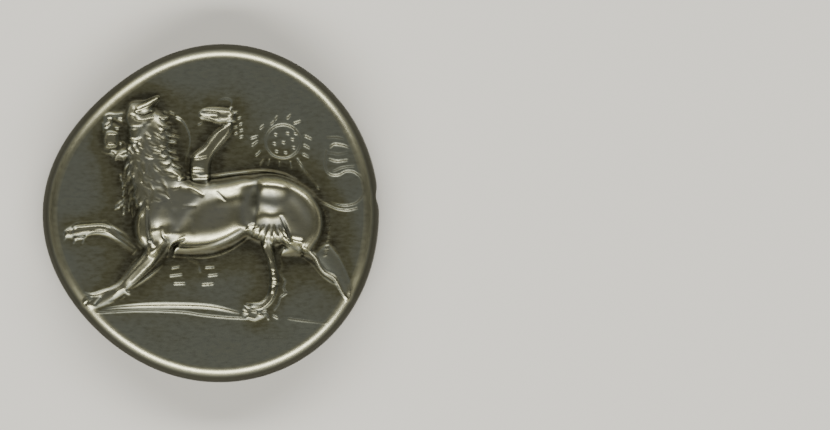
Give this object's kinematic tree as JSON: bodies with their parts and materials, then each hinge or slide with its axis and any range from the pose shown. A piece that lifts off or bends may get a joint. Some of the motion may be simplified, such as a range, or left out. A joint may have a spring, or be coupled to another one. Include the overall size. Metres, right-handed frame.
{
  "type": "stater",
  "caption": "Ancient silver coin lying flat, with a chimera in relief on its front face and a dove inside an olive wreath on its back.",
  "frame": {"origin": "middle of the coin's outline box, on the surface that its underside rim rests on", "axes": "+Z through the front face, +X to the right of the front picture, +Y to its top"},
  "size_m": [0.024, 0.0242, 0.0041],
  "materials": {
    "silver": "struck and worn silver with a soft shine, toned brown in the hollows"
  },
  "bodies": {
    "root": {"coin": "silver"}
  },
  "joints": []
}
